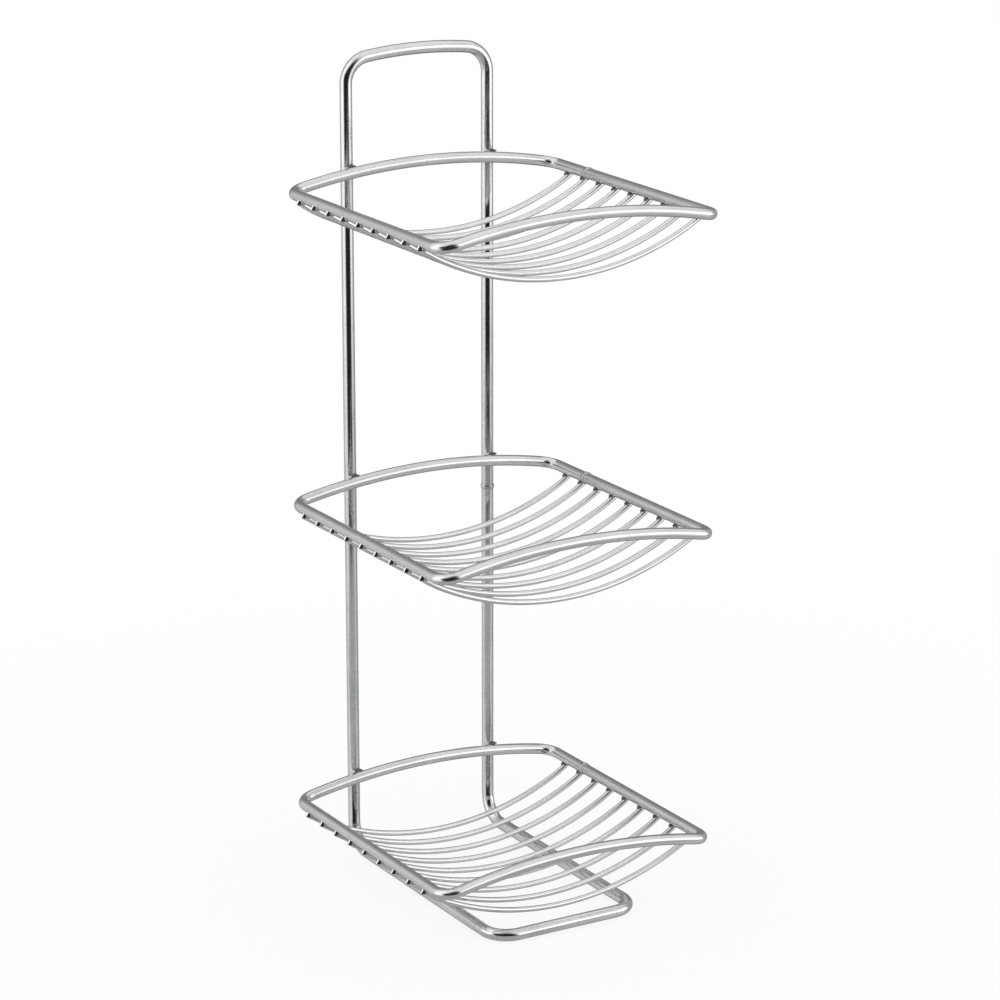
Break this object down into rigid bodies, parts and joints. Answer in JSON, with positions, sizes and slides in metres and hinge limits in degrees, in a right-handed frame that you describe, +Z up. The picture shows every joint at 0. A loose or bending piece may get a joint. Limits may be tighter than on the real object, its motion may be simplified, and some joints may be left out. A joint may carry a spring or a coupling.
{
  "type": "toilet roll storage holder",
  "caption": "Free-standing wire rack with stacked square shelves that cradle spare toilet rolls on sagging floor wires, on a looped base with a carrying bow on top.",
  "frame": {"origin": "on the floor, at the middle of the overall width and depth", "axes": "+X to the right as seen from the front, +Y to the back where the uprights stand, +Z up"},
  "size_m": [0.143, 0.146, 0.376],
  "materials": {
    "frame_wire": "bright satin plated wire, smooth",
    "rim_wire": "satin plated wire, faintly grained",
    "floor_wire": "bright plated thin wire",
    "weld_metal": "dull plated weld metal, slightly rough"
  },
  "bodies": {
    "root": {"handle_bow": "frame_wire", "left_upright": "frame_wire", "right_upright": "frame_wire", "base_loop": "frame_wire", "frame_seam": "weld_metal", "upper_rim": "rim_wire", "middle_rim": "rim_wire", "lower_rim": "rim_wire", "upper_rim_seam": "weld_metal", "middle_rim_seam": "weld_metal", "lower_rim_seam": "weld_metal", "upper_wire_1": "floor_wire", "upper_wire_2": "floor_wire", "upper_wire_3": "floor_wire", "upper_wire_4": "floor_wire", "upper_wire_5": "floor_wire", "upper_wire_6": "floor_wire", "upper_wire_7": "floor_wire", "upper_wire_8": "floor_wire", "upper_wire_9": "floor_wire", "middle_wire_1": "floor_wire", "middle_wire_2": "floor_wire", "middle_wire_3": "floor_wire", "middle_wire_4": "floor_wire", "middle_wire_5": "floor_wire", "middle_wire_6": "floor_wire", "middle_wire_7": "floor_wire", "middle_wire_8": "floor_wire", "middle_wire_9": "floor_wire", "lower_wire_1": "floor_wire", "lower_wire_2": "floor_wire", "lower_wire_3": "floor_wire", "lower_wire_4": "floor_wire", "lower_wire_5": "floor_wire", "lower_wire_6": "floor_wire", "lower_wire_7": "floor_wire", "lower_wire_8": "floor_wire", "lower_wire_9": "floor_wire", "upper_left_welds": "weld_metal", "upper_right_welds": "weld_metal", "middle_left_welds": "weld_metal", "middle_right_welds": "weld_metal", "lower_left_welds": "weld_metal", "lower_right_welds": "weld_metal", "upper_back_welds": "weld_metal", "middle_back_welds": "weld_metal", "lower_back_welds": "weld_metal"}
  },
  "joints": []
}
